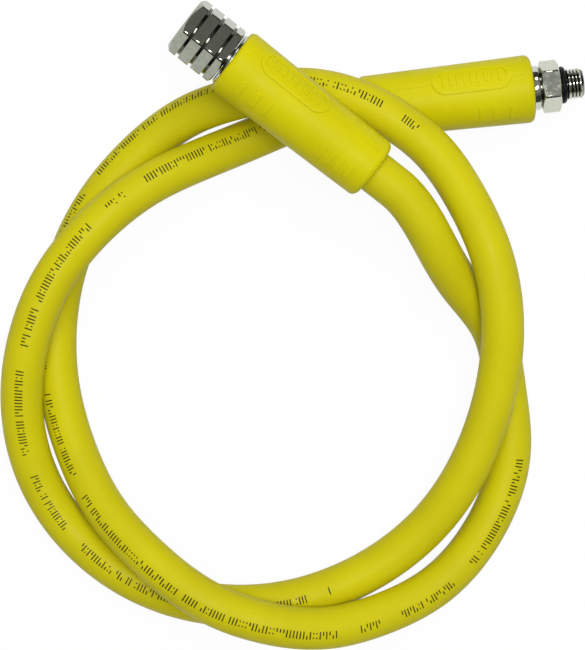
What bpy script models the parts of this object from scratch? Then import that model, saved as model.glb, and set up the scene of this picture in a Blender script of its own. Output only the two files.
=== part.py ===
# A low-pressure hose for a diving regulator, lying on a flat surface in two loose turns.
# One end has a hexagonal swivel nut on a stem, the other a threaded stud with a hexagon,
# and a rubber protector is pushed over each end. Metres, +Z up.
import math

import bmesh
import bpy
import numpy as np
from mathutils import Vector

for leftover in list(bpy.data.objects):
    bpy.data.objects.remove(leftover, do_unlink=True)

mm = 0.001

# Pieces that touch on the real hose stay this far apart here.
fit_gap = 0.3 * mm

# The hose is a thick rubber tube. Its section is a regular polygon with this many corners.
hose_diameter = 13.0 * mm
hose_bore = 7.0 * mm
hose_sides = 12
hose_point_count = 72

# Rubber protector, the same on both ends. It widens towards the fitting.
protector_length = 53.5 * mm
protector_hose_end = 19.3 * mm
protector_fitting_end = 21.0 * mm
protector_seat_depth = 27.0 * mm
mouth_rounding = 2.0 * mm
rim_rounding = 1.3 * mm

# Ferrule, crimped over the end of the hose and round the groove of its stem.
ferrule_diameter = 17.0 * mm
ferrule_edge = 0.6 * mm
ferrule_lip = 2.0 * mm
female_ferrule_length = 27.0 * mm
male_ferrule_length = 25.8 * mm
crimp_count = 2
crimp_first = 4.5 * mm
crimp_spacing = 9.0 * mm
crimp_width = 2.6 * mm
crimp_depth = 0.35 * mm

# Both stems: a barbed tail in the hose, a collar against its end and a groove for the lip.
barb_count = 3
barb_height = 0.45 * mm
tail_length = 23.0 * mm
stem_collar_width = 2.3 * mm
stem_collar_diameter = 10.2 * mm
lip_groove_diameter = 8.8 * mm

# Swivel stem: a flange that holds the nut, and a nose with an O-ring.
swivel_bore = 4.0 * mm
flange_diameter = 12.4 * mm
flange_width = 2.5 * mm
nose_diameter = 8.4 * mm
nose_length = 4.9 * mm
nose_chamfer = 0.6 * mm
nose_ring_section = 1.5 * mm
nose_ring_outer = 9.5 * mm
nose_ring_from_flange = 1.0 * mm

# Swivel nut.
nut_across_flats = 17.0 * mm
nut_length = 16.2 * mm
nut_thread_bore = 13.2 * mm
nut_mouth_bore = 14.6 * mm
nut_lip = 2.5 * mm
nut_front_face = 16.0 * mm
nut_front_chamfer = 1.5 * mm
nut_back_face = 16.4 * mm
nut_back_chamfer = 0.9 * mm
nut_groove_count = 3
nut_groove_spacing = 4.55 * mm
nut_groove_from_front = 3.95 * mm
nut_groove_width = 1.0 * mm
nut_groove_floor = 17.35 * mm
nut_turn = math.radians(-17)

# Threaded stud with its collar and hexagon.
stud_bore = 4.5 * mm
collar_diameter = 13.8 * mm
collar_width = 2.3 * mm
hex_across_flats = 14.29 * mm
hex_length = 5.9 * mm
hex_face = 13.7 * mm
hex_chamfer = 0.8 * mm
hex_groove_width = 0.5 * mm
hex_groove_diameter = 12.4 * mm
stud_diameter = 9.5 * mm
stud_length = 7.3 * mm
stud_chamfer = 0.8 * mm
stud_ring_section = 2.0 * mm
stud_ring_outer = 11.5 * mm
stud_seat_depth = 0.3 * mm

# Where the hose leaves each protector. The swivel end lies raised on the turns below it,
# and the stud end lies on the floor.
female_mouth_x = -2.7 * mm
female_mouth_y = -21.4 * mm
female_mouth_height = 34.9 * mm
female_heading = math.radians(142.6)
female_rise = math.radians(7)
male_mouth_x = -5.8 * mm
male_mouth_y = 0.1 * mm
male_heading = math.radians(6.4)
female_straight = 8.0 * mm
male_straight = 8.0 * mm

# The hose's centre line from the swivel end to the stud end, in millimetres: down to the
# floor, twice round, over itself at the right, the bottom and the left, and over the
# mouth of the other protector.
route = [
    (16.1, -42.8, 28.6),
    (25.3, -56.1, 18.5),
    (35.0, -68.4, 11.1),
    (39.6, -87.0, 7.2),
    (41.2, -106.5, 6.6),
    (33.9, -129.6, 6.6),
    (18.2, -148.3, 7.8),
    (0.5, -157.0, 11.8),
    (-16.5, -160.5, 16.2),
    (-34.5, -158.5, 19.7),
    (-52.5, -152.0, 20.2),
    (-70.5, -139.0, 18.2),
    (-84.5, -124.5, 12.8),
    (-94.4, -106.0, 8.0),
    (-100.2, -83.5, 6.6),
    (-100.2, -63.0, 6.6),
    (-96.1, -45.2, 6.6),
    (-87.5, -28.5, 6.7),
    (-74.7, -13.7, 7.6),
    (-58.6, -2.3, 11.1),
    (-41.5, 2.8, 17.0),
    (-24.5, 4.4, 23.0),
    (-9.0, 1.1, 26.7),
    (4.0, -5.4, 27.0),
    (15.2, -14.3, 27.2),
    (25.3, -28.8, 28.4),
    (33.3, -47.0, 29.2),
    (36.7, -66.5, 26.6),
    (35.5, -86.0, 21.0),
    (27.5, -110.9, 15.5),
    (13.7, -131.2, 9.4),
    (-7.5, -146.5, 6.8),
    (-34.0, -154.5, 6.6),
    (-62.0, -152.5, 6.6),
    (-88.5, -138.5, 6.6),
    (-105.5, -116.0, 8.2),
    (-110.3, -93.0, 14.0),
    (-107.7, -72.5, 18.8),
    (-100.0, -53.5, 20.2),
    (-87.0, -37.0, 19.7),
    (-71.3, -24.4, 17.6),
    (-55.9, -16.5, 13.0),
    (-38.0, -8.7, 8.6),
]


def material(name, colour, roughness, metallic=0.0):
    made = bpy.data.materials.new(name)
    made.use_nodes = True
    shader = made.node_tree.nodes["Principled BSDF"]
    shader.inputs["Base Color"].default_value = (*colour, 1.0)
    shader.inputs["Roughness"].default_value = roughness
    shader.inputs["Metallic"].default_value = metallic
    made.diffuse_color = (*colour, 1.0)
    return made


def axis_of(name, place, heading, rise):
    # An empty whose +Z runs out of the hose and through the fitting.
    empty = bpy.data.objects.new(name, None)
    empty.location = place
    empty.rotation_euler = (0.0, math.pi / 2 - rise, heading)
    bpy.context.collection.objects.link(empty)
    return empty


def turned(name, rings, look, parent, along=0.0, turn=0.0, sides=24):
    # Each ring is (height, radius) or (height, radius, half the width across flats), where
    # the flats cut the circle. The rings run up the outside and back down the bore.
    bm = bmesh.new()
    loops = []
    for ring in rings:
        height, radius = ring[:2]
        loop = []
        for i in range(sides):
            angle = math.tau * i / sides
            reach = radius
            if len(ring) == 3:
                from_flat = (angle + math.pi / 6) % (math.pi / 3) - math.pi / 6
                from_flat = math.pi / 6 - abs(from_flat)
                reach = min(radius, ring[2] / math.cos(from_flat))
            place = (reach * math.cos(angle), reach * math.sin(angle), height)
            loop.append(bm.verts.new(place))
        loops.append(loop)
    for lower, upper in zip(loops, loops[1:] + loops[:1]):
        for i in range(sides):
            j = (i + 1) % sides
            bm.faces.new((lower[i], lower[j], upper[j], upper[i]))
    bmesh.ops.remove_doubles(bm, verts=bm.verts, dist=1e-7)
    bmesh.ops.recalc_face_normals(bm, faces=bm.faces)
    mesh = bpy.data.meshes.new(name)
    bm.to_mesh(mesh)
    bm.free()
    mesh.shade_smooth()
    mesh.set_sharp_from_angle(angle=math.radians(25))
    piece = bpy.data.objects.new(name, mesh)
    piece.parent = parent
    piece.location = (0.0, 0.0, along)
    piece.rotation_euler = (0.0, 0.0, turn)
    mesh.materials.append(look)
    bpy.context.collection.objects.link(piece)
    return piece


def quarter(height, radius, size, begin, end, steps=3):
    # Points along a rounded edge about (height, radius), from one angle to the other.
    points = []
    for i in range(steps + 1):
        angle = math.radians(begin + (end - begin) * i / steps)
        points.append((height + size * math.sin(angle), radius + size * math.cos(angle)))
    return points


def section_ring(centre_radius, section, steps=10):
    # The round section of an O-ring.
    points = []
    for i in range(steps):
        angle = math.tau * i / steps
        radius = centre_radius + section / 2 * math.cos(angle)
        points.append((section / 2 * math.sin(angle), radius))
    return points


def protector_rings():
    small, large = protector_hose_end / 2, protector_fitting_end / 2
    grip = hose_diameter / 2 + fit_gap
    sleeve = ferrule_diameter / 2 + fit_gap
    inner_rounding = (small - grip - mouth_rounding) * 0.8
    rim = protector_length - rim_rounding
    rings = quarter(mouth_rounding, small - mouth_rounding, mouth_rounding, -90, 0)
    rings += quarter(rim, large - rim_rounding, rim_rounding, 0, 90)
    rings += [
        (protector_length, sleeve + fit_gap),
        (protector_length - fit_gap, sleeve),
        (protector_seat_depth, sleeve),
        (protector_seat_depth, grip),
        (inner_rounding, grip),
        (0.0, grip + inner_rounding),
    ]
    return rings


def ferrule_rings(length):
    outer = ferrule_diameter / 2
    inner = hose_diameter / 2 + fit_gap
    lip = lip_groove_diameter / 2 + fit_gap
    rings = [(0.0, outer - ferrule_edge), (ferrule_edge, outer)]
    for i in range(crimp_count):
        middle = crimp_first + i * crimp_spacing
        rings += [
            (middle - crimp_width / 2, outer),
            (middle - crimp_width / 4, outer - crimp_depth),
            (middle + crimp_width / 4, outer - crimp_depth),
            (middle + crimp_width / 2, outer),
        ]
    rings += [
        (length - ferrule_edge, outer),
        (length, outer - ferrule_edge),
        (length, lip),
        (length - ferrule_lip, lip),
        (length - ferrule_lip, inner),
        (0.0, inner),
    ]
    return rings


def tail_rings(collar_back, lip_back, lip_front):
    # The barbed tail, from its tip to the far side of the groove for the ferrule's lip.
    crest = hose_bore / 2 * math.cos(math.pi / hose_sides) - fit_gap
    root = crest - barb_height
    pitch = (tail_length - fit_gap) / barb_count
    start = collar_back - tail_length
    rings = []
    for i in range(barb_count):
        rings += [(start + i * pitch, root), (start + (i + 0.8) * pitch, crest)]
        rings += [(start + (i + 0.8) * pitch, root)]
    rings += [
        (collar_back, root),
        (collar_back, stem_collar_diameter / 2),
        (lip_back - fit_gap, stem_collar_diameter / 2),
        (lip_back - fit_gap, lip_groove_diameter / 2),
        (lip_front + fit_gap, lip_groove_diameter / 2),
    ]
    return rings


def chamfered_end(height, across_flats, face, chamfer, steps=3):
    # The rings of a hexagon's end, from its round face to where its corners are whole. A
    # negative chamfer runs down from the height instead of up.
    half = across_flats / 2
    corner = half / math.cos(math.pi / 6)
    rings = []
    for i in range(steps + 1):
        radius = face / 2 + (corner - face / 2) * i / steps
        rings.append((height + chamfer * i / steps, radius, half))
    return rings


def smooth_path(points, first_way, last_way, count):
    # A cubic spline through the points that leaves and arrives along the given directions,
    # read at an even spacing.
    points = np.array(points)
    gaps = np.linalg.norm(np.diff(points, axis=0), axis=1)
    knots = np.concatenate([[0.0], np.cumsum(gaps)])
    matrix = np.eye(len(points))
    slopes = np.zeros((len(points), 3))
    slopes[0], slopes[-1] = first_way, last_way
    for i in range(1, len(points) - 1):
        before, after = gaps[i - 1], gaps[i]
        matrix[i, i - 1 : i + 2] = after, 2 * (before + after), before
        rise_before = (points[i] - points[i - 1]) / before
        rise_after = (points[i + 1] - points[i]) / after
        slopes[i] = 3 * (after * rise_before + before * rise_after)
    slopes = np.linalg.solve(matrix, slopes)
    fine = []
    for t in np.linspace(0.0, knots[-1], 40 * count):
        i = min(max(np.searchsorted(knots, t) - 1, 0), len(gaps) - 1)
        u = (t - knots[i]) / gaps[i]
        fine.append(
            (2 * u**3 - 3 * u**2 + 1) * points[i]
            + (u**3 - 2 * u**2 + u) * gaps[i] * slopes[i]
            + (3 * u**2 - 2 * u**3) * points[i + 1]
            + (u**3 - u**2) * gaps[i] * slopes[i + 1]
        )
    fine = np.array(fine)
    run = np.concatenate([[0.0], np.cumsum(np.linalg.norm(np.diff(fine, axis=0), axis=1))])
    even = np.linspace(0.0, run[-1], count)
    return [Vector(tuple(np.interp(t, run, fine[:, k]) for k in range(3))) for t in even]


yellow_hose = material("hose_yellow", (0.62, 0.55, 0.012), 0.42)
yellow_rubber = material("protector_yellow", (0.64, 0.56, 0.006), 0.38)
chrome = material("chrome", (0.62, 0.62, 0.6), 0.12, 1.0)
plated_brass = material("plated_ferrule", (0.58, 0.58, 0.56), 0.22, 1.0)
black_rubber = material("o_ring_black", (0.012, 0.012, 0.012), 0.35)

# The stud end's protector touches the floor all along, so its axis rises as it widens.
male_rise = math.asin((protector_fitting_end - protector_hose_end) / 2 / protector_length)
male_mouth = (male_mouth_x, male_mouth_y, protector_hose_end / 2)
male_end = axis_of("male_end", male_mouth, male_heading, male_rise)
female_mouth = (female_mouth_x, female_mouth_y, female_mouth_height)
female_end = axis_of("female_end", female_mouth, female_heading, female_rise)

# Swivel end. Heights along the axis are counted from the protector's mouth.
ferrule_back = protector_seat_depth + fit_gap
female_lip_front = ferrule_back + female_ferrule_length
female_lip_back = female_lip_front - ferrule_lip
female_hose_end = female_lip_back - stem_collar_width - 2 * fit_gap
turned("female_protector", protector_rings(), yellow_rubber, female_end, sides=32)
turned("female_ferrule", ferrule_rings(female_ferrule_length), plated_brass, female_end, ferrule_back)

nut_back = female_lip_front + fit_gap
neck = stem_collar_diameter / 2
lip_bore = neck + fit_gap
flange_back = nut_back + nut_lip + fit_gap
flange_front = flange_back + flange_width
nose_front = flange_front + nose_length
nose_groove_back = flange_front + nose_ring_from_flange
nose_groove_front = nose_groove_back + nose_ring_section + 2 * fit_gap
nose_ring_radius = (nose_ring_outer - nose_ring_section) / 2
nose_groove_floor = nose_ring_radius - nose_ring_section / 2 - fit_gap
swivel_rings = tail_rings(female_hose_end + fit_gap, female_lip_back, female_lip_front)
swivel_rings += [
    (female_lip_front + fit_gap, neck),
    (flange_back, neck),
    (flange_back, flange_diameter / 2),
    (flange_front, flange_diameter / 2),
    (flange_front, nose_diameter / 2),
    (nose_groove_back, nose_diameter / 2),
    (nose_groove_back, nose_groove_floor),
    (nose_groove_front, nose_groove_floor),
    (nose_groove_front, nose_diameter / 2),
    (nose_front - nose_chamfer, nose_diameter / 2),
    (nose_front, nose_diameter / 2 - nose_chamfer),
    (nose_front, swivel_bore / 2),
    (female_hose_end + fit_gap - tail_length, swivel_bore / 2),
]
turned("swivel_stem", swivel_rings, chrome, female_end)
nose_ring_place = (nose_groove_back + nose_groove_front) / 2
nose_ring = section_ring(nose_ring_radius, nose_ring_section)
turned("nose_o_ring", nose_ring, black_rubber, female_end, nose_ring_place)

# The nut turns freely about the stem. Its grooves are cut a little deeper than its flats
# leave room for, so they show only near the corners.
nut_half = nut_across_flats / 2
nut_corner = nut_half / math.cos(math.pi / 6)
nut_rings = chamfered_end(0.0, nut_across_flats, nut_back_face, nut_back_chamfer)
for i in reversed(range(nut_groove_count)):
    middle = nut_length - nut_groove_from_front - i * nut_groove_spacing
    nut_rings += [
        (middle - nut_groove_width / 2, nut_corner, nut_half),
        (middle - nut_groove_width / 2, nut_groove_floor / 2, nut_half),
        (middle + nut_groove_width / 2, nut_groove_floor / 2, nut_half),
        (middle + nut_groove_width / 2, nut_corner, nut_half),
    ]
nut_rings += chamfered_end(nut_length, nut_across_flats, nut_front_face, -nut_front_chamfer)[::-1]
mouth_depth = (nut_mouth_bore - nut_thread_bore) / 2
nut_rings += [
    (nut_length, nut_mouth_bore / 2),
    (nut_length - mouth_depth, nut_thread_bore / 2),
    (nut_lip, nut_thread_bore / 2),
    (nut_lip, lip_bore),
    (0.0, lip_bore),
]
turned("swivel_nut", nut_rings, chrome, female_end, nut_back, nut_turn, sides=36)

# Stud end.
male_lip_front = ferrule_back + male_ferrule_length
male_lip_back = male_lip_front - ferrule_lip
male_hose_end = male_lip_back - stem_collar_width - 2 * fit_gap
turned("male_protector", protector_rings(), yellow_rubber, male_end, sides=32)
turned("male_ferrule", ferrule_rings(male_ferrule_length), plated_brass, male_end, ferrule_back)

collar_front = male_lip_front + fit_gap + collar_width
hex_back = collar_front + hex_groove_width
hex_front = hex_back + hex_length
stud_tip = hex_front + stud_length
stud_ring_radius = (stud_ring_outer - stud_ring_section) / 2
stud_groove_floor = stud_ring_radius - stud_ring_section / 2 - fit_gap
# The O-ring lies in a shallow recess, inside the land of the hexagon that meets the port.
stud_seat = hex_front - stud_seat_depth
stud_seat_radius = stud_ring_outer / 2 + fit_gap
stud_groove_front = stud_seat + stud_ring_section + 2 * fit_gap
stud_rings = tail_rings(male_hose_end + fit_gap, male_lip_back, male_lip_front)
stud_rings += [
    (male_lip_front + fit_gap, collar_diameter / 2),
    (collar_front, collar_diameter / 2),
    (collar_front, hex_groove_diameter / 2),
    (hex_back, hex_groove_diameter / 2),
]
stud_rings += chamfered_end(hex_back, hex_across_flats, hex_face, hex_chamfer)
stud_rings += chamfered_end(hex_front, hex_across_flats, hex_face, -hex_chamfer)[::-1]
stud_rings += [
    (hex_front, stud_seat_radius),
    (stud_seat, stud_seat_radius),
    (stud_seat, stud_groove_floor),
    (stud_groove_front, stud_groove_floor),
    (stud_groove_front, stud_diameter / 2),
    (stud_tip - stud_chamfer, stud_diameter / 2),
    (stud_tip, stud_diameter / 2 - stud_chamfer),
    (stud_tip, stud_bore / 2),
    (male_hose_end + fit_gap - tail_length, stud_bore / 2),
]
turned("male_stem", stud_rings, chrome, male_end, turn=math.radians(30))
stud_ring_place = stud_seat + fit_gap + stud_ring_section / 2
stud_ring = section_ring(stud_ring_radius, stud_ring_section)
turned("male_o_ring", stud_ring, black_rubber, male_end, stud_ring_place)

# The hose runs straight out of each ferrule and a little past each protector's mouth.
bpy.context.view_layer.update()


def on_axis(end, height):
    return end.matrix_world @ Vector((0.0, 0.0, height))


female_way = (on_axis(female_end, 0.0) - on_axis(female_end, 1.0)).normalized()
male_way = (on_axis(male_end, 1.0) - on_axis(male_end, 0.0)).normalized()
bends = [on_axis(female_end, -female_straight)]
bends += [Vector(point) * mm for point in route]
bends += [on_axis(male_end, -male_straight)]
centre_line = [on_axis(female_end, female_hose_end)]
centre_line += smooth_path(bends, female_way, male_way, hose_point_count)
centre_line += [on_axis(male_end, male_hose_end)]

# Its ends stay open, and the wall is grown inwards from its outer skin, so that the bore
# runs from one stem's tail to the other's.
curve = bpy.data.curves.new("hose", "CURVE")
curve.dimensions = "3D"
curve.bevel_depth = hose_diameter / 2
curve.bevel_resolution = hose_sides // 2 - 2
curve.use_fill_caps = False
spline = curve.splines.new("POLY")
spline.points.add(len(centre_line) - 1)
for point, place in zip(spline.points, centre_line):
    point.co = (*place, 1.0)
curve.materials.append(yellow_hose)
hose = bpy.data.objects.new("hose", curve)
bpy.context.collection.objects.link(hose)
wall = hose.modifiers.new("wall", "SOLIDIFY")
wall.thickness = (hose_diameter - hose_bore) / 2
wall.offset = -1.0
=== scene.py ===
import math

import bpy
import numpy as np
from mathutils import Matrix, Vector


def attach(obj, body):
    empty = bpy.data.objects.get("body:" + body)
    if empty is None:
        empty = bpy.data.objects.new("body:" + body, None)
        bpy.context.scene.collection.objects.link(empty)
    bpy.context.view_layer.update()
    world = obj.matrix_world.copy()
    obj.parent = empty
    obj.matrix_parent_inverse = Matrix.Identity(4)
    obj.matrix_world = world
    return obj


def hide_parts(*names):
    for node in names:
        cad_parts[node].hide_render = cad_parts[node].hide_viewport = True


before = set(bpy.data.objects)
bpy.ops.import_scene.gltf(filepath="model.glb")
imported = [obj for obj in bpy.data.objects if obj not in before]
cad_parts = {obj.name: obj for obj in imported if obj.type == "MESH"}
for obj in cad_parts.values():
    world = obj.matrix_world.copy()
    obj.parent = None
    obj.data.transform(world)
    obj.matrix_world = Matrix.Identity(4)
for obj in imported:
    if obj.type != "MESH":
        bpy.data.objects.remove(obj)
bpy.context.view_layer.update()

mm = 0.001

# The camera hangs above the coil and looks straight down.
view = {
    "place": (-0.0268, -0.06735, 0.620),
    "lens": 108.72,
    "filmHeight": 36.0,
}


def addCamera():
    bpy.ops.object.select_all(action="DESELECT")
    bpy.ops.object.camera_add(location=view["place"], rotation=(0, 0, 0))
    camera = bpy.context.object
    camera.name = "photoCamera"
    camera.data.sensor_fit = "VERTICAL"
    camera.data.sensor_height = view["filmHeight"]
    camera.data.lens = view["lens"]
    camera.data.clip_start = 0.01
    bpy.context.scene.camera = camera


addCamera()
print("camera placed")

# The two ends of the hose. Each end has an axis that starts at its protector's mouth and
# runs out through the fitting. Heights along an axis are counted from the mouth.
swivelEnd = {"mouth": (-2.7, -21.4, 34.9), "heading": 142.6, "rise": 7.0, "straight": 8.0}
studEnd = {"mouth": (-5.8, 0.1, 9.65), "heading": 6.4, "rise": 0.9104, "straight": 8.0}


def endFrame(end):
    # Local +Z runs out along the axis, local -X is the side that faces up.
    turn = Matrix.Rotation(math.radians(end["heading"]), 4, "Z")
    tip = Matrix.Rotation(math.radians(90 - end["rise"]), 4, "Y")
    return Matrix.Translation(Vector(end["mouth"]) * mm) @ turn @ tip


def onAxis(end, height):
    return endFrame(end) @ Vector((0, 0, height * mm))


# The hose, in millimetres. Its ends are inside the ferrules, against the stems' collars.
hose = {
    "diameter": 13.0,
    "wall": 3.0,
    "sides": 32,
    "ringSpacing": 1.6,
    "swivelEndHeight": 49.4,
    "studEndHeight": 48.2,
    "exitHeight": 27.3,  # where it leaves the swivel end's ferrule
    "bareShift": 1000.0,  # moves the map away from the ink where the hose is bare
}

# Its centre line from the swivel end to the stud end, as it lies.
hoseRoute = [
    (16.1, -42.8, 28.6),
    (25.3, -56.1, 18.5),
    (35.0, -68.4, 11.1),
    (39.6, -87.0, 7.2),
    (41.2, -106.5, 6.6),
    (33.9, -129.6, 6.6),
    (18.2, -148.3, 7.8),
    (0.5, -157.0, 11.8),
    (-16.5, -160.5, 16.2),
    (-34.5, -158.5, 19.7),
    (-52.5, -152.0, 20.2),
    (-70.5, -139.0, 18.2),
    (-84.5, -124.5, 12.8),
    (-94.4, -106.0, 8.0),
    (-100.2, -83.5, 6.6),
    (-100.2, -63.0, 6.6),
    (-96.1, -45.2, 6.6),
    (-87.5, -28.5, 6.7),
    (-74.7, -13.7, 7.6),
    (-58.6, -2.3, 11.1),
    (-41.5, 2.8, 17.0),
    (-24.5, 4.4, 23.0),
    (-9.0, 1.1, 26.7),
    (4.0, -5.4, 27.0),
    (15.2, -14.3, 27.2),
    (25.3, -28.8, 28.4),
    (33.3, -47.0, 29.2),
    (36.7, -66.5, 26.6),
    (35.5, -86.0, 21.0),
    (27.5, -110.9, 15.5),
    (13.7, -131.2, 9.4),
    (-7.5, -146.5, 6.8),
    (-34.0, -154.5, 6.6),
    (-62.0, -152.5, 6.6),
    (-88.5, -138.5, 6.6),
    (-105.5, -116.0, 8.2),
    (-110.3, -93.0, 14.0),
    (-107.7, -72.5, 18.8),
    (-100.0, -53.5, 20.2),
    (-87.0, -37.0, 19.7),
    (-71.3, -24.4, 17.6),
    (-55.9, -16.5, 13.0),
    (-38.0, -8.7, 8.6),
]

# The line of ink ticks along the hose: (distance from the swivel end in mm, how far it has
# rolled from the top in degrees, towards the right of the way the hose runs). It stops
# between the stretches.
inkStretches = [
    [
        (156, -24),
        (178, -21),
        (222, -15),
        (258, -10),
        (290, -18),
        (335, -27),
        (375, -33),
        (415, -42),
        (435, -45),
        (458, -43),
        (474, -40),
        (506, -18),
        (543, -9.5),
    ],
    [(711, 3), (769, -5), (805, -1), (865, -1), (895, -5.5), (925, -11), (947, -15), (990, -9)],
]


def smoothPath(points, firstWay, lastWay, count):
    # A cubic spline through the points that leaves and arrives along the given directions.
    points = np.array(points)
    gaps = np.linalg.norm(np.diff(points, axis=0), axis=1)
    knots = np.concatenate([[0.0], np.cumsum(gaps)])
    matrix = np.eye(len(points))
    slopes = np.zeros((len(points), 3))
    slopes[0], slopes[-1] = firstWay, lastWay
    for i in range(1, len(points) - 1):
        before, after = gaps[i - 1], gaps[i]
        matrix[i, i - 1 : i + 2] = after, 2 * (before + after), before
        riseBefore = (points[i] - points[i - 1]) / before
        riseAfter = (points[i + 1] - points[i]) / after
        slopes[i] = 3 * (after * riseBefore + before * riseAfter)
    slopes = np.linalg.solve(matrix, slopes)
    t = np.linspace(0.0, knots[-1], count)
    i = np.clip(np.searchsorted(knots, t) - 1, 0, len(gaps) - 1)
    u = ((t - knots[i]) / gaps[i])[:, None]
    gap = gaps[i][:, None]
    return (
        (2 * u**3 - 3 * u**2 + 1) * points[i]
        + (u**3 - 2 * u**2 + u) * gap * slopes[i]
        + (3 * u**2 - 2 * u**3) * points[i + 1]
        + (u**3 - u**2) * gap * slopes[i + 1]
    )


def hoseCentreLine():
    out = (onAxis(swivelEnd, 0) - onAxis(swivelEnd, 1)).normalized()
    back = (onAxis(studEnd, 1) - onAxis(studEnd, 0)).normalized()
    bends = [tuple(onAxis(swivelEnd, -swivelEnd["straight"]))]
    bends += [tuple(x * mm for x in point) for point in hoseRoute]
    bends += [tuple(onAxis(studEnd, -studEnd["straight"]))]
    fine = smoothPath(bends, out, back, 4000)
    swivelTip = np.array([onAxis(swivelEnd, hose["swivelEndHeight"])])
    studTip = np.array([onAxis(studEnd, hose["studEndHeight"])])
    fine = np.concatenate([swivelTip, fine, studTip])
    run = np.concatenate([[0.0], np.cumsum(np.linalg.norm(np.diff(fine, axis=0), axis=1))])
    rings = int(run[-1] / (hose["ringSpacing"] * mm)) + 1
    even = np.linspace(0.0, run[-1], rings)
    line = np.array([np.interp(even, run, fine[:, k]) for k in range(3)]).T
    return line, even


def selectOnly(piece):
    bpy.ops.object.select_all(action="DESELECT")
    piece.select_set(True)
    bpy.context.view_layer.objects.active = piece


def makeHose():
    line, run = hoseCentreLine()
    sides = hose["sides"]
    radius = hose["diameter"] * mm / 2
    ways = np.gradient(line, axis=0)
    ways /= np.linalg.norm(ways, axis=1)[:, None]
    ups = np.array([0.0, 0.0, 1.0]) - ways * ways[:, 2:3]
    ups /= np.linalg.norm(ups, axis=1)[:, None]
    rights = np.cross(ways, ups)
    angles = math.tau * np.arange(sides) / sides
    rim = ups[:, None] * np.cos(angles)[None, :, None]
    rim = rim + rights[:, None] * np.sin(angles)[None, :, None]
    places = line[:, None] + rim * radius
    corners = [tuple(p) for p in places.reshape(-1, 3)]
    faces = []
    for i in range(len(line) - 1):
        for j in range(sides):
            k = (j + 1) % sides
            faces.append((i * sides + j, i * sides + k, (i + 1) * sides + k, (i + 1) * sides + j))
    mesh = bpy.data.meshes.new("hoseTube")
    mesh.from_pydata(corners, [], faces)
    piece = bpy.data.objects.new("hoseTube", mesh)
    bpy.context.collection.objects.link(piece)
    layInkMap(mesh, run, angles, radius)
    selectOnly(piece)
    bpy.ops.object.mode_set(mode="EDIT")
    bpy.ops.mesh.select_all(action="SELECT")
    bpy.ops.mesh.normals_make_consistent(inside=False)
    bpy.ops.object.mode_set(mode="OBJECT")
    wall = piece.modifiers.new("wall", "SOLIDIFY")
    wall.thickness = hose["wall"] * mm
    wall.offset = -1.0
    bpy.ops.object.modifier_apply(modifier=wall.name)
    bpy.ops.object.shade_smooth_by_angle(angle=math.radians(40))
    return piece, line, run


def layInkMap(mesh, run, angles, radius):
    # Across: millimetres along the hose. Up: millimetres round it from the ink line, or far
    # away where the hose is bare.
    along = run / mm
    roll = np.zeros(len(along))
    inked = np.zeros(len(along), dtype=bool)
    for stretch in inkStretches:
        marks = np.array(stretch, dtype=float)
        inside = (along >= marks[0, 0]) & (along <= marks[-1, 0])
        roll[inside] = np.interp(along[inside], marks[:, 0], marks[:, 1])
        inked |= inside
    layer = mesh.uv_layers.new(name="hoseLine")
    sides = len(angles)
    step = math.tau / sides
    for face in mesh.polygons:
        first = face.vertices[0]
        ring, side = divmod(first, sides)
        centre = math.radians(roll[ring])
        for loop, corner in zip(face.loop_indices, face.vertices):
            cornerRing = corner // sides
            turn = (side + (0 if corner % sides == side else 1)) * step
            if turn - step / 2 - centre > math.pi:
                turn -= math.tau
            height = (turn - centre) * radius / mm
            if not inked[min(cornerRing, ring)]:
                height += hose["bareShift"]
            layer.data[loop].uv = (along[cornerRing], height)


hosePiece, hosePath, hoseRun = makeHose()
cordPath = [tuple(float(x) for x in p) for p in hosePath[::3]]
cordPath.append(tuple(float(x) for x in hosePath[-1]))
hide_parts("hose")
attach(hosePiece, "hose_line")
print("hose laid, length", round(float(hoseRun[-1]), 4))


def turnOnLathe(name, profile, steps=96):
    # The profile is a closed line of (height, radius), drawn point by point in the XZ plane
    # and spun round the Z axis.
    bpy.ops.object.select_all(action="DESELECT")
    height, radius = profile[0]
    bpy.ops.mesh.primitive_plane_add(size=mm, location=(radius * mm, 0, height * mm))
    piece = bpy.context.object
    piece.name = name
    bpy.ops.object.mode_set(mode="EDIT")
    bpy.ops.mesh.select_all(action="SELECT")
    bpy.ops.mesh.merge(type="CENTER")
    for (height, radius), (nextHeight, nextRadius) in zip(profile, profile[1:] + profile[:1]):
        move = ((nextRadius - radius) * mm, 0, (nextHeight - height) * mm)
        bpy.ops.mesh.extrude_region_move(TRANSFORM_OT_translate={"value": move})
    bpy.ops.mesh.select_all(action="SELECT")
    bpy.ops.mesh.remove_doubles(threshold=1e-6)
    bpy.ops.mesh.select_all(action="SELECT")
    bpy.ops.mesh.spin(steps=steps, angle=math.tau, center=(0, 0, 0), axis=(0, 0, 1))
    bpy.ops.mesh.select_all(action="SELECT")
    bpy.ops.mesh.remove_doubles(threshold=1e-6)
    bpy.ops.mesh.normals_make_consistent(inside=False)
    bpy.ops.object.mode_set(mode="OBJECT")
    bpy.ops.object.transform_apply(location=True, rotation=True, scale=True)
    return piece


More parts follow.
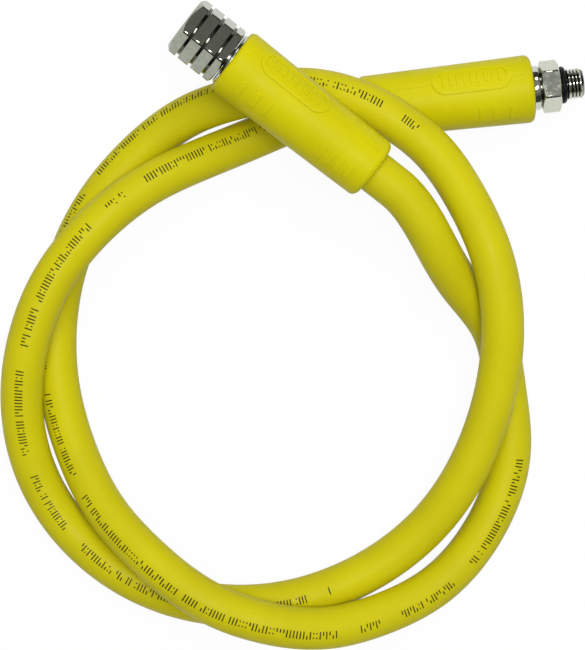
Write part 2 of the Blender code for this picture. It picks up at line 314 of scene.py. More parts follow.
def hexBar(name, acrossFlats, bottom, top, turn, rounding):
    # A bar of six flats about the Z axis. With no turn, its corners are at 0, 60, 120 degrees.
    bpy.ops.object.select_all(action="DESELECT")
    bpy.ops.mesh.primitive_cylinder_add(
        vertices=6,
        radius=acrossFlats * mm / 2 / math.cos(math.pi / 6),
        depth=(top - bottom) * mm,
        location=(0, 0, (top + bottom) * mm / 2),
        rotation=(0, 0, math.radians(turn + 30)),
    )
    bar = bpy.context.object
    bar.name = name
    bpy.ops.object.transform_apply(location=True, rotation=True, scale=True)
    edge = bar.modifiers.new("rounding", "BEVEL")
    edge.width = rounding * mm
    edge.segments = 3
    edge.limit_method = "ANGLE"
    bpy.ops.object.modifier_apply(modifier=edge.name)
    return bar


def combine(piece, tool, operation):
    selectOnly(piece)
    cut = piece.modifiers.new("cut", "BOOLEAN")
    cut.operation = operation
    cut.solver = "EXACT"
    cut.object = tool
    bpy.ops.object.modifier_apply(modifier=cut.name)
    bpy.data.objects.remove(tool, do_unlink=True)


def softenEdges(piece, width):
    selectOnly(piece)
    edge = piece.modifiers.new("edges", "BEVEL")
    edge.width = width * mm
    edge.segments = 2
    edge.limit_method = "ANGLE"
    edge.angle_limit = math.radians(30)
    bpy.ops.object.modifier_apply(modifier=edge.name)


def smoothMetal(piece, turn):
    # The flats of the hexagon are shaded flat, so that their rounded edges don't bend them.
    selectOnly(piece)
    bpy.ops.object.shade_smooth_by_angle(angle=math.radians(35))
    for face in piece.data.polygons:
        side = math.degrees(math.atan2(face.normal.y, face.normal.x)) - turn
        if abs(face.normal.z) < 0.01 and abs(side % 60 - 30) < 0.6:
            face.use_smooth = False


def markPaintedShade(piece, paintedShadeAt):
    # How much painted shade each face gets, from 0 to 1: the metal is darkened in grooves, thread
    # roots and other hollows to stand in for the shade there.
    layer = piece.data.attributes.new(name="paintedShade", type="FLOAT", domain="FACE")
    for face, spot in zip(piece.data.polygons, layer.data):
        x, y, z = face.center / mm
        spot.value = paintedShadeAt(math.hypot(x, y), z)


def cutThread(piece, pitch, depth, start, end, startRadius, runOut=0.7, outside=True):
    # Moves the corners between two heights in a helix, with a flat root and a flat crest. The
    # thread fades out at both ends.
    for corner in piece.data.vertices:
        x, y, z = corner.co / mm
        radius = math.hypot(x, y)
        if not start <= z <= end or abs(radius - startRadius) > 0.3:
            continue
        phase = (z / pitch - math.atan2(y, x) / math.tau) % 1.0
        groove = max(0.0, min(1.0, (0.5 - abs(phase - 0.5)) * 2.6 - 0.3))
        fade = min(1.0, (z - start) / runOut, (end - z) / runOut)
        move = depth * groove * max(0.0, fade)
        scale = (radius - move) / radius if outside else (radius + move) / radius
        corner.co.x *= scale
        corner.co.y *= scale


def layInPlace(piece, end):
    bpy.context.view_layer.update()
    piece.matrix_world = endFrame(end) @ piece.matrix_world
    selectOnly(piece)
    bpy.ops.object.transform_apply(location=True, rotation=True, scale=True)


def arc(height, radius, size, begin, finish, steps=5):
    # Points along a rounded edge about (height, radius).
    points = []
    for i in range(steps + 1):
        angle = math.radians(begin + (finish - begin) * i / steps)
        points.append((height + size * math.sin(angle), radius + size * math.cos(angle)))
    return points


def steppedLine(start, end, radius, step=0.088):
    # Rings close enough for a thread.
    count = max(1, round((end - start) / step))
    return [(start + (end - start) * i / count, radius) for i in range(count + 1)]


# Rubber sleeve over each end: snug on the hose, roomy over the ferrule.
protector = {
    "length": 53.5,
    "mouthRadius": 9.65,
    "fittingRadius": 10.5,
    "seatDepth": 27.0,
    "mouthRounding": 2.0,
    "rimRounding": (1.9, 1.5),  # along the axis and across it
    "grip": 6.56,
    "ferruleBore": 8.8,
}


def protectorRadius(height):
    share = height / protector["length"]
    growth = protector["fittingRadius"] - protector["mouthRadius"]
    return protector["mouthRadius"] + growth * share


def makeProtector(name):
    p = protector
    mouth, length = p["mouthRounding"], p["length"]
    rimLength, rimDepth = p["rimRounding"]
    profile = arc(mouth, protectorRadius(mouth) - mouth, mouth, -90, 0, 8)
    profile += [(h, protectorRadius(h)) for h in (8.0, 16.0, 24.0, 32.0, 40.0, 47.0)]
    for i in range(8):
        turn = math.radians(90 * i / 7)
        height = length - rimLength + rimLength * math.sin(turn)
        profile.append((height, protectorRadius(length) - rimDepth * (1 - math.cos(turn))))
    profile += arc(length - 0.35, p["ferruleBore"] + 0.35, 0.35, 90, 180, 3)
    profile += [(p["seatDepth"] + 0.4, p["ferruleBore"]), (p["seatDepth"], p["ferruleBore"] - 0.4)]
    profile += [(p["seatDepth"], p["grip"]), (0.5, p["grip"])]
    profile += arc(0.45, p["grip"] + 0.45, 0.45, 180, 270, 3)
    sleeve = turnOnLathe(name, profile, 80)
    selectOnly(sleeve)
    bpy.ops.object.shade_smooth_by_angle(angle=math.radians(50))
    return sleeve


def wrapOnSleeve(piece, height, side):
    # A flat relief, drawn in the XY plane with its thickness along Z, is laid round the
    # sleeve: its X runs along the axis, its Y round it.
    for corner in piece.data.vertices:
        x, y, z = corner.co / mm
        along = height + x
        radius = protectorRadius(along) + z
        angle = math.radians(side) + y / protectorRadius(along)
        corner.co = Vector((radius * math.cos(angle), radius * math.sin(angle), along)) * mm


def raisedBar(name, length, width, rise):
    # A low rounded bar, its back sunk below the sleeve's surface.
    bpy.ops.object.select_all(action="DESELECT")
    size = (width * mm, length * mm, rise * 2 * mm)
    bpy.ops.mesh.primitive_cube_add(size=1, location=(0, 0, 0), scale=size)
    bar = bpy.context.object
    bar.name = name
    bpy.ops.object.transform_apply(location=True, rotation=True, scale=True)
    bpy.ops.object.mode_set(mode="EDIT")
    bpy.ops.mesh.select_all(action="SELECT")
    bpy.ops.mesh.bisect(plane_co=(0, 0, 0), plane_no=(0, 1, 0), use_fill=False)
    bpy.ops.mesh.select_all(action="SELECT")
    bpy.ops.mesh.subdivide(number_cuts=4)
    bpy.ops.object.mode_set(mode="OBJECT")
    edge = bar.modifiers.new("edge", "BEVEL")
    edge.width = rise * 0.8 * mm
    edge.segments = 3
    edge.limit_method = "ANGLE"
    bpy.ops.object.modifier_apply(modifier=edge.name)
    return bar


def raisedTrack(name, length, width, line, rise):
    # A low rounded ridge in the outline of a running track.
    bpy.ops.object.select_all(action="DESELECT")
    bpy.ops.mesh.primitive_circle_add(
        vertices=32,
        radius=width * mm / 2,
        fill_type="NGON",
        location=(0, 0, -rise * mm),
    )
    track = bpy.context.object
    track.name = name
    bpy.ops.object.transform_apply(location=True, rotation=True, scale=True)
    for corner in track.data.vertices:
        corner.co.x += math.copysign((length - width) * mm / 2, corner.co.x + 1e-7)
    bpy.ops.object.mode_set(mode="EDIT")
    bpy.ops.mesh.select_all(action="SELECT")
    bpy.ops.mesh.inset(thickness=line * mm)
    bpy.ops.mesh.delete(type="FACE")
    bpy.ops.mesh.select_all(action="SELECT")
    bpy.ops.mesh.extrude_region_move(TRANSFORM_OT_translate={"value": (0, 0, rise * 2 * mm)})
    bpy.ops.mesh.select_all(action="SELECT")
    bpy.ops.mesh.normals_make_consistent(inside=False)
    bpy.ops.object.mode_set(mode="OBJECT")
    splitLongEdges(track)
    edge = track.modifiers.new("edge", "BEVEL")
    edge.width = rise * 0.8 * mm
    edge.segments = 3
    edge.limit_method = "ANGLE"
    bpy.ops.object.modifier_apply(modifier=edge.name)
    return track


def splitLongEdges(piece, longest=1.2):
    # Cuts across the piece along X, so that it can bend with the surface under it.
    selectOnly(piece)
    bpy.ops.object.mode_set(mode="EDIT")
    reach = max(abs(corner.co.x) for corner in piece.data.vertices) / mm
    x = -math.floor(reach / longest) * longest
    while x < reach:
        bpy.ops.mesh.select_all(action="SELECT")
        bpy.ops.mesh.bisect(plane_co=(x * mm, 0, 0), plane_no=(1, 0, 0), use_fill=False)
        x += longest
    bpy.ops.object.mode_set(mode="OBJECT")


def joinTo(piece, others):
    bpy.ops.object.select_all(action="DESELECT")
    for other in others:
        other.select_set(True)
    piece.select_set(True)
    bpy.context.view_layer.objects.active = piece
    bpy.ops.object.join()
    bpy.ops.object.shade_smooth_by_angle(angle=math.radians(50))


# What stands out on a sleeve: a track outline with plain bars in it, a low rib to each end,
# and on both flanks short grip pads, each (height, width) in mm from the mouth.
sleeveRelief = {
    "track": (34.6, 24.8, 9.2),  # height of its middle, length, width
    "trackLine": 1.7,
    "trackRise": 0.36,
    "bars": 9,
    "barSpacing": 2.15,
    "bar": (1.0, 3.8, 0.24),  # width, length, rise
    "rib": (2.1, 0.16),  # width, rise
    "ribRuns": ((3.0, 22.6), (46.6, 51.0)),
    "gripLength": 5.4,
    "gripRise": 0.2,
    "grips": (
        (6.8, 1.9),
        (10.2, 1.9),
        (13.2, 1.9),
        (16.6, 1.9),
        (37.0, 2.0),
        (41.3, 2.4),
        (46.6, 2.4),
    ),
}
# The side that each track is on, in degrees round the sleeve, and the flanks from there.
trackSides = {"studProtector": 154.7, "swivelProtector": 216.5}
gripFlanks = {"studProtector": (71, -98), "swivelProtector": (-71, 98)}

print("lathe and relief ready")


def addRelief(sleeve, side, flanks):
    r = sleeveRelief
    middle, length, width = r["track"]
    parts = [raisedTrack("track", length, width, r["trackLine"], r["trackRise"])]
    wrapOnSleeve(parts[0], middle, side)
    barWidth, barLength, barRise = r["bar"]
    for i in range(r["bars"]):
        bar = raisedBar("bar", barLength, barWidth, barRise)
        wrapOnSleeve(bar, middle + (i - (r["bars"] - 1) / 2) * r["barSpacing"], side)
        parts.append(bar)
    ribWidth, ribRise = r["rib"]
    for start, stop in r["ribRuns"]:
        rib = raisedBar("rib", ribWidth, stop - start, ribRise)
        wrapOnSleeve(rib, (start + stop) / 2, side)
        parts.append(rib)
    for flank in flanks:
        for height, gripWidth in r["grips"]:
            grip = raisedBar("grip", r["gripLength"], gripWidth, r["gripRise"])
            wrapOnSleeve(grip, height, side + flank)
            parts.append(grip)
    joinTo(sleeve, parts)


def makeDressedProtector(name, end):
    sleeve = makeProtector(name)
    addRelief(sleeve, trackSides[name], gripFlanks[name])
    layInPlace(sleeve, end)
    return sleeve


studProtector = makeDressedProtector("studProtector", studEnd)
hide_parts("male_protector")
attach(studProtector, "protector_by_stud")
swivelProtector = makeDressedProtector("swivelProtector", swivelEnd)
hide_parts("female_protector")
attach(swivelProtector, "protector_by_nut")
print("protectors made")

# Ferrules, crimped over the hose's ends. Most of each is inside its protector.
ferrule = {
    "back": 27.3,
    "swivelLength": 27.0,
    "studLength": 25.8,
    "radius": 8.5,
    "bore": 6.8,
    "lipBore": 4.7,
    "lip": 2.0,
    "edge": 0.6,
    "crimps": (4.5, 13.5),
    "crimpWidth": 2.6,
    "crimpDepth": 0.35,
}


def makeFerrule(name, length, end):
    f = ferrule
    back, front = f["back"], f["back"] + length
    profile = arc(back + f["edge"], f["radius"] - f["edge"], f["edge"], -90, 0, 3)
    for crimp in f["crimps"]:
        middle = back + crimp
        for i in range(9):
            share = i / 8
            dip = f["crimpDepth"] * math.sin(math.pi * share) ** 0.7
            profile.append((middle + (share - 0.5) * f["crimpWidth"], f["radius"] - dip))
    profile += arc(front - f["edge"], f["radius"] - f["edge"], f["edge"], 0, 90, 4)
    profile += [(front, f["lipBore"] + 0.15), (front - 0.15, f["lipBore"])]
    profile += [(front - f["lip"], f["lipBore"]), (front - f["lip"], f["bore"]), (back, f["bore"])]
    piece = turnOnLathe(name, profile, 72)
    bpy.ops.object.shade_smooth_by_angle(angle=math.radians(35))
    layInPlace(piece, end)
    return piece


swivelFerrule = makeFerrule("swivelFerrule", ferrule["swivelLength"], swivelEnd)
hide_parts("female_ferrule")
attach(swivelFerrule, "hose_line")
studFerrule = makeFerrule("studFerrule", ferrule["studLength"], studEnd)
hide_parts("male_ferrule")
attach(studFerrule, "hose_line")
print("ferrules made")

# The barbed tail inside the hose is the same on both stems. The groove behind the collar
# takes the ferrule's lip, with a gap on each side.
tail = {
    "length": 23.0,
    "barbs": 3,
    "crest": 3.08,
    "root": 2.63,
    "edge": 0.1,
    "collar": 5.1,
    "lipGroove": 4.4,
    "gap": 0.3,
}


def tailProfile(collarBack, lipBack, lipFront):
    t = tail
    pitch = (t["length"] - t["gap"]) / t["barbs"]
    start = collarBack - t["length"]
    profile = []
    for i in range(t["barbs"]):
        crest = start + (i + 0.8) * pitch
        profile += [(start + i * pitch, t["root"]), (crest - t["edge"], t["crest"])]
        profile += [(crest, t["crest"] - t["edge"]), (crest, t["root"])]
    profile += [(collarBack, t["root"]), (collarBack, t["collar"])]
    profile += [(lipBack - t["gap"], t["collar"]), (lipBack - t["gap"], t["lipGroove"])]
    profile += [(lipFront + t["gap"], t["lipGroove"])]
    return profile


# Swivel stem: it carries the nut by a flange, and its nose seals with an O-ring.
swivelStem = {
    "hoseEnd": 49.7,
    "lipBack": 52.3,
    "lipFront": 54.3,
    "neck": 5.1,
    "flange": (57.4, 59.9, 6.2),  # back, front, radius
    "noseFront": 64.8,
    "noseRadius": 4.2,
    "ringGroove": (60.9, 63.0, 2.95),  # back, front, radius of its floor
    "bore": 2.0,
}


# Painted shade on the swivel stem: full where it runs narrow in front of the ferrule's lip, on the
# neck and nose inside the nut.
def stemPaintedShade(radius, height):
    return 1.0 if height > swivelStem["lipFront"] and radius < swivelStem["neck"] + 0.1 else 0.0


def makeSwivelStem():
    s = swivelStem
    flangeBack, flangeFront, flangeRadius = s["flange"]
    grooveBack, grooveFront, grooveFloor = s["ringGroove"]
    profile = tailProfile(s["hoseEnd"], s["lipBack"], s["lipFront"])
    nose = s["noseRadius"]
    profile += [(s["lipFront"] + tail["gap"], s["neck"]), (flangeBack, s["neck"])]
    profile += arc(flangeBack + 0.2, flangeRadius - 0.2, 0.2, -90, 0, 2)
    profile += arc(flangeFront - 0.3, flangeRadius - 0.3, 0.3, 0, 90, 3)
    profile += [(flangeFront, nose), (grooveBack - 0.1, nose)]
    profile += [(grooveBack, nose - 0.1), (grooveBack, grooveFloor)]
    profile += [(grooveFront, grooveFloor), (grooveFront, nose - 0.1), (grooveFront + 0.1, nose)]
    profile += arc(s["noseFront"] - 0.6, nose - 0.6, 0.6, 0, 90, 4)
    profile += [(s["noseFront"], s["bore"] + 0.3), (s["noseFront"] - 0.3, s["bore"])]
    profile += [(s["hoseEnd"] - tail["length"], s["bore"])]
    piece = turnOnLathe("swivelStem", profile, 72)
    bpy.ops.object.shade_smooth_by_angle(angle=math.radians(35))
    markPaintedShade(piece, stemPaintedShade)
    layInPlace(piece, swivelEnd)
    return piece


swivelStemPiece = makeSwivelStem()
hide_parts("swivel_stem")
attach(swivelStemPiece, "hose_line")
print("swivel stem made")

# Swivel nut: a hexagon bar, turned to a barrel with grooves, bored and threaded.
nut = {
    "back": 54.6,
    "length": 16.2,
    "acrossFlats": 17.0,
    "turn": -17.0,
    "frontFace": 8.0,
    "frontChamfer": 1.5,
    "backFace": 8.2,
    "backChamfer": 0.9,
    "grooves": (3.15, 7.7, 12.25),
    "grooveWidth": 1.0,
    "grooveFloor": 8.4,
    "lip": 2.5,
    "lipBore": 5.4,
    "threadBore": 6.6,
    "threadPitch": 1.411,
    "threadDepth": 0.5,
    "mouthBore": 7.3,
    "rounding": 0.5,
    "edge": 0.08,
}


# Painted shade on the nut: full in its grooves and inside its threaded bore.
def nutPaintedShade(radius, height):
    if any(abs(height - middle) < nut["grooveWidth"] / 2 + 0.01 for middle in nut["grooves"]):
        return 1.0
    return 1.0 if radius < nut["threadBore"] + 0.4 and 0.6 < height < nut["length"] - 0.5 else 0.0


def makeNut():
    n = nut
    length = n["length"]
    corner = n["acrossFlats"] / 2 / math.cos(math.pi / 6) + 0.4
    barrel = [(0.0, n["backFace"]), (n["backChamfer"] * 1.25, corner)]
    for middle in n["grooves"]:
        half = n["grooveWidth"] / 2
        barrel += [(middle - half, corner), (middle - half, n["grooveFloor"] + 0.1)]
        barrel += [(middle - half + 0.1, n["grooveFloor"]), (middle + half - 0.1, n["grooveFloor"])]
        barrel += [(middle + half, n["grooveFloor"] + 0.1), (middle + half, corner)]
    barrel += [(length - n["frontChamfer"] * 1.2, corner), (length, n["frontFace"])]
    barrel += [(length, 2.0), (0.0, 2.0)]
    piece = turnOnLathe("swivelNut", barrel, 96)
    bar = hexBar("nutBar", n["acrossFlats"], -1.0, length + 1.0, n["turn"], n["rounding"])
    combine(piece, bar, "INTERSECT")
    softenEdges(piece, n["edge"])
    start, end = n["lip"] + 0.4, length - 0.9
    drill = [(-0.5, n["lipBore"] + 0.25), (0.25, n["lipBore"]), (n["lip"], n["lipBore"])]
    drill += [(n["lip"], n["threadBore"])]
    drill += steppedLine(start, end, n["threadBore"])
    drill += [(length - 0.3, n["mouthBore"]), (length + 0.5, n["mouthBore"] + 0.2)]
    drill += [(length + 0.5, 0.0), (-0.5, 0.0)]
    tool = turnOnLathe("nutDrill", drill, 72)
    cutThread(tool, n["threadPitch"], n["threadDepth"], start, end, n["threadBore"], outside=False)
    combine(piece, tool, "DIFFERENCE")
    smoothMetal(piece, n["turn"])
    markPaintedShade(piece, nutPaintedShade)
    for corner in piece.data.vertices:
        corner.co.z += n["back"] * mm
    layInPlace(piece, swivelEnd)
    return piece


nutPiece = makeNut()
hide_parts("swivel_nut")
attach(nutPiece, "nut")
print("swivel nut made, triangles", sum(len(f.vertices) - 2 for f in nutPiece.data.polygons))

# Threaded stem: a collar against the ferrule, a hexagon and the stud.
studStem = {
    "hoseEnd": 48.5,
    "lipBack": 51.1,
    "lipFront": 53.1,
    "collar": (53.4, 55.7, 6.9),  # back, front, radius
    "hex": (56.2, 62.1, 14.29),  # back, front, across flats
    "hexTurn": 30.0,
    "hexFace": 6.85,
    "hexChamfer": 0.8,
    "hexGroove": 6.2,
    "seat": 61.8,
    "seatRadius": 6.05,
    "ringFloor": 3.45,
    "ringFront": 64.4,
    "stud": (4.76, 69.4),  # radius, tip
    "studChamfer": 0.8,
    "threadPitch": 1.058,
    "threadDepth": 0.6,
    "bore": 2.25,
    "rounding": 0.5,
    "edge": 0.08,
}


# Painted shade on the stud stem: growing towards the thread's roots, full in the grooves either
# side of the hexagon and on the tail inside the hose.
def studPaintedShade(radius, height):
    collarBack, collarFront = studStem["collar"][:2]
    if height > studStem["ringFront"] - 0.01:
        below = studStem["stud"][0] - 0.1 - radius
        return min(1.0, max(0.0, below / studStem["threadDepth"] * 1.4))
    if height > studStem["hex"][1] or collarFront < height < studStem["hex"][0] + 0.01:
        return 1.0 if radius < studStem["seatRadius"] + 0.3 else 0.0
    return 1.0 if height < collarBack else 0.0


def makeStudStem():
    s = studStem
    collarBack, collarFront, collarRadius = s["collar"]
    hexBack, hexFront, acrossFlats = s["hex"]
    studRadius, tip = s["stud"]
    profile = tailProfile(s["hoseEnd"], s["lipBack"], s["lipFront"])
    profile += arc(collarBack + 0.2, collarRadius - 0.2, 0.2, -90, 0, 2)
    profile += arc(collarFront - 0.25, collarRadius - 0.25, 0.25, 0, 90, 3)
    profile += [(collarFront, s["hexGroove"]), (hexBack + 0.5, s["hexGroove"])]
    profile += [(hexBack + 0.5, s["ringFloor"] - 0.1), (s["seat"] - 0.5, s["ringFloor"] - 0.1)]
    profile += [(s["seat"] - 0.5, s["ringFloor"]), (s["ringFront"], s["ringFloor"])]
    profile += [(s["ringFront"], studRadius - 0.5)]
    start, face = s["ringFront"] + 0.25, studRadius - s["studChamfer"]
    profile += steppedLine(start, tip - s["studChamfer"], studRadius)
    profile += [(tip - 0.08, face + 0.08), (tip, face)]
    profile += [(tip, s["bore"] + 0.25), (tip - 0.25, s["bore"])]
    profile += [(s["hoseEnd"] - tail["length"], s["bore"])]
    stem = turnOnLathe("studStem", profile, 96)
    cutThread(stem, s["threadPitch"], s["threadDepth"], start, tip - 0.5, studRadius, runOut=0.45)
    corner = acrossFlats / 2 / math.cos(math.pi / 6) + 0.3
    barrel = [(hexBack, s["hexFace"]), (hexBack + s["hexChamfer"], corner)]
    barrel += [(hexFront - s["hexChamfer"], corner), (hexFront, s["hexFace"])]
    barrel += [(hexFront, s["seatRadius"]), (s["seat"], s["seatRadius"])]
    barrel += [(s["seat"], 3.2), (hexBack, 3.2)]
    head = turnOnLathe("studHex", barrel, 96)
    bar = hexBar("studBar", acrossFlats, hexBack - 1, hexFront + 1, s["hexTurn"], s["rounding"])
    combine(head, bar, "INTERSECT")
    softenEdges(head, s["edge"])
    combine(stem, head, "UNION")
    smoothMetal(stem, s["hexTurn"])
    markPaintedShade(stem, studPaintedShade)
    layInPlace(stem, studEnd)
    return stem


studStemPiece = makeStudStem()
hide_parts("male_stem")
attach(studStemPiece, "hose_line")
print("stud stem made, triangles", sum(len(f.vertices) - 2 for f in studStemPiece.data.polygons))

# O-rings, each with the faint flash line that its mould leaves round it.
ring = {
    "nose": (4.0, 1.5, 61.95),  # radius to the middle of the section, its width, height
    "stud": (4.75, 2.0, 63.1),
    "flash": 0.03,
}


def makeRing(name, place, end):
    centreRadius, section, height = ring[place]
    profile = []
    for i in range(24):
        angle = math.tau * i / 24
        radius = section / 2 + (ring["flash"] if i % 12 == 0 else 0.0)
        profile.append((height + radius * math.sin(angle), centreRadius + radius * math.cos(angle)))
    piece = turnOnLathe(name, profile, 72)
    bpy.ops.object.shade_smooth_by_angle(angle=math.radians(60))
    layInPlace(piece, end)
    return piece


noseRing = makeRing("noseRing", "nose", swivelEnd)
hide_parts("nose_o_ring")
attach(noseRing, "hose_line")
studRing = makeRing("studRing", "stud", studEnd)
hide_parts("male_o_ring")
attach(studRing, "hose_line")
print("rings made")


def newMaterial(name):
    made = bpy.data.materials.new(name)
    made.use_nodes = True
    return made, made.node_tree, made.node_tree.nodes["Principled BSDF"]


def maths(tree, operation, *values, clamp=False):
    made = tree.nodes.new("ShaderNodeMath")
    made.operation = operation
    made.use_clamp = clamp
    for slot, value in enumerate(values):
        if isinstance(value, (int, float)):
            made.inputs[slot].default_value = value
        else:
            tree.links.new(value, made.inputs[slot])
    return made.outputs[0]


def noise(tree, place, scale, detail=3.0, roughness=0.5):
    made = tree.nodes.new("ShaderNodeTexNoise")
    made.inputs["Scale"].default_value = scale
    made.inputs["Detail"].default_value = detail
    made.inputs["Roughness"].default_value = roughness
    tree.links.new(place, made.inputs["Vector"])
    return made.outputs[0]


def ramp(tree, value, fromLow, fromHigh, toLow, toHigh):
    made = tree.nodes.new("ShaderNodeMapRange")
    made.interpolation_type = "SMOOTHSTEP"
    names = ("From Min", "From Max", "To Min", "To Max")
    for name, number in zip(names, (fromLow, fromHigh, toLow, toHigh)):
        made.inputs[name].default_value = number
    tree.links.new(value, made.inputs["Value"])
    return made.outputs["Result"]


def blendColours(tree, share, first, second):
    made = tree.nodes.new("ShaderNodeMix")
    made.data_type = "RGBA"
    tree.links.new(share, made.inputs["Factor"])
    for slot, colour in zip(("A", "B"), (first, second)):
        socket = [s for s in made.inputs if s.name == slot and s.type == "RGBA"][0]
        if isinstance(colour, tuple):
            socket.default_value = (*colour, 1.0)
        else:
            tree.links.new(colour, socket)
    return [s for s in made.outputs if s.type == "RGBA"][0]


def bump(tree, height, strength, distance):
    made = tree.nodes.new("ShaderNodeBump")
    made.inputs["Strength"].default_value = strength
    made.inputs["Distance"].default_value = distance * mm
    tree.links.new(height, made.inputs["Height"])
    return made.outputs["Normal"]


def objectPlace(tree):
    return tree.nodes.new("ShaderNodeTexCoord").outputs["Object"]


rubberLook = {
    "hoseYellow": (0.625, 0.565, 0.005),
    "hoseDull": (0.575, 0.52, 0.006),
    "sleeveYellow": (0.66, 0.605, 0.0015),
    "sleeveDull": (0.61, 0.555, 0.002),
    "dust": (0.62, 0.59, 0.03),
    "hoseRoughness": (0.40, 0.52),
    "sleeveRoughness": (0.38, 0.48),
    "gloss": 0.12,
    "grain": 2600.0,
}


def rubberNodes(tree, shader, place, kind):
    # Slow changes of tone, a fine grain and a few dusty patches.
    cloud = ramp(tree, noise(tree, place, 38.0, 4.0), 0.35, 0.7, 0.0, 1.0)
    tone = blendColours(tree, cloud, rubberLook[kind + "Yellow"], rubberLook[kind + "Dull"])
    speck = noise(tree, place, 900.0, 2.0)
    dusty = maths(tree, "MULTIPLY", ramp(tree, speck, 0.62, 0.8, 0.0, 0.35), cloud)
    tone = blendColours(tree, dusty, tone, rubberLook["dust"])
    shader.inputs["Specular IOR Level"].default_value = rubberLook["gloss"]
    rough = ramp(tree, noise(tree, place, 120.0, 3.0), 0.3, 0.7, *rubberLook[kind + "Roughness"])
    tree.links.new(rough, shader.inputs["Roughness"])
    grain = noise(tree, place, rubberLook["grain"], 2.0)
    scuff = noise(tree, place, 240.0, 5.0, 0.65)
    relief = maths(tree, "ADD", maths(tree, "MULTIPLY", grain, 0.35), scuff)
    tree.links.new(bump(tree, relief, 0.35, 0.05), shader.inputs["Normal"])
    return tone


# Ink marks along the hose: plain upright ticks of full and half height and pairs of dots.
# The shares say which chances give a short tick above, one below and a pair of dots. Chances
# under them give a full tick, and those over them a space. Sizes are in millimetres.
ink = {
    "colour": (0.022, 0.018, 0.006),
    "pitch": 0.98,
    "group": 6.86,
    "gap": 0.16,
    "halfStroke": 0.19,
    "halfHeight": 1.25,
    "dot": 0.26,
    "edge": 0.06,
    "upperShare": (0.52, 0.66),
    "lowerShare": (0.66, 0.80),
    "dotShare": (0.80, 0.94),
    "worn": (0.3, 0.5, 0.8, 1.0),
}


def chanceOf(tree, number):
    made = tree.nodes.new("ShaderNodeTexWhiteNoise")
    made.noise_dimensions = "1D"
    tree.links.new(number, made.inputs["W"])
    return made.outputs["Value"]


def between(tree, value, low, high):
    above = maths(tree, "GREATER_THAN", value, low)
    return maths(tree, "MULTIPLY", above, maths(tree, "LESS_THAN", value, high))


def inkMask(tree):
    uv = tree.nodes.new("ShaderNodeUVMap")
    uv.uv_map = "hoseLine"
    parts = tree.nodes.new("ShaderNodeSeparateXYZ")
    tree.links.new(uv.outputs["UV"], parts.inputs[0])
    along, around = parts.outputs[0], parts.outputs[1]
    cell = maths(tree, "DIVIDE", along, ink["pitch"])
    pick = chanceOf(tree, maths(tree, "FLOOR", cell))
    group = maths(tree, "FLOOR", maths(tree, "DIVIDE", along, ink["group"]))
    groupChance = chanceOf(tree, maths(tree, "ADD", group, 0.37))
    groupOn = maths(tree, "GREATER_THAN", groupChance, ink["gap"])
    upper = between(tree, pick, *ink["upperShare"])
    lower = between(tree, pick, *ink["lowerShare"])
    dots = between(tree, pick, *ink["dotShare"])
    markOn = maths(tree, "LESS_THAN", pick, ink["dotShare"][1])
    half = maths(tree, "ADD", upper, lower)
    # Height above or below the middle of the mark, and half of its size there.
    tall = ink["halfHeight"]
    mirrored = maths(tree, "SUBTRACT", maths(tree, "ABSOLUTE", around), around)
    height = maths(tree, "ADD", around, maths(tree, "MULTIPLY", dots, mirrored))
    shift = maths(tree, "MULTIPLY", maths(tree, "SUBTRACT", upper, lower), tall / 2)
    shift = maths(tree, "ADD", shift, maths(tree, "MULTIPLY", dots, tall * 0.6))
    size = maths(tree, "SUBTRACT", tall, maths(tree, "MULTIPLY", half, tall / 2))
    size = maths(tree, "SUBTRACT", size, maths(tree, "MULTIPLY", dots, tall - ink["dot"]))
    over = maths(tree, "ABSOLUTE", maths(tree, "SUBTRACT", height, shift))
    over = maths(tree, "SUBTRACT", over, size)
    band = ramp(tree, over, -ink["edge"], ink["edge"], 1.0, 0.0)
    offset = maths(tree, "ABSOLUTE", maths(tree, "SUBTRACT", maths(tree, "FRACT", cell), 0.5))
    offset = maths(tree, "MULTIPLY", offset, ink["pitch"])
    inner, outer = ink["halfStroke"] - ink["edge"], ink["halfStroke"] + ink["edge"]
    stroke = ramp(tree, offset, inner, outer, 1.0, 0.0)
    mask = maths(tree, "MULTIPLY", stroke, band)
    return maths(tree, "MULTIPLY", mask, maths(tree, "MULTIPLY", groupOn, markOn))


def hoseMaterial():
    made, tree, shader = newMaterial("hoseRubber")
    place = objectPlace(tree)
    tone = rubberNodes(tree, shader, place, "hose")
    worn = ramp(tree, noise(tree, place, 700.0, 4.0, 0.7), *ink["worn"])
    mask = maths(tree, "MULTIPLY", inkMask(tree), worn)
    tree.links.new(blendColours(tree, mask, tone, ink["colour"]), shader.inputs["Base Color"])
    return made


def protectorMaterial():
    made, tree, shader = newMaterial("protectorRubber")
    tone = rubberNodes(tree, shader, objectPlace(tree), "sleeve")
    tree.links.new(tone, shader.inputs["Base Color"])
    return made


metalLook = {
    "stud": ((0.61, 0.63, 0.53), (0.55, 0.58, 0.48)),
    "nut": ((0.375, 0.395, 0.32), (0.33, 0.35, 0.285)),
    "plating": ((0.55, 0.56, 0.49), (0.44, 0.45, 0.39)),
    # A near-black tone and how far it is mixed in: painted shade for grooves and hollows.
    "paintedShadeTone": (0.075, 0.072, 0.06),
    "paintedShadeShare": 0.92,
    "roughness": (0.04, 0.12),
    "platingRoughness": (0.14, 0.26),
}


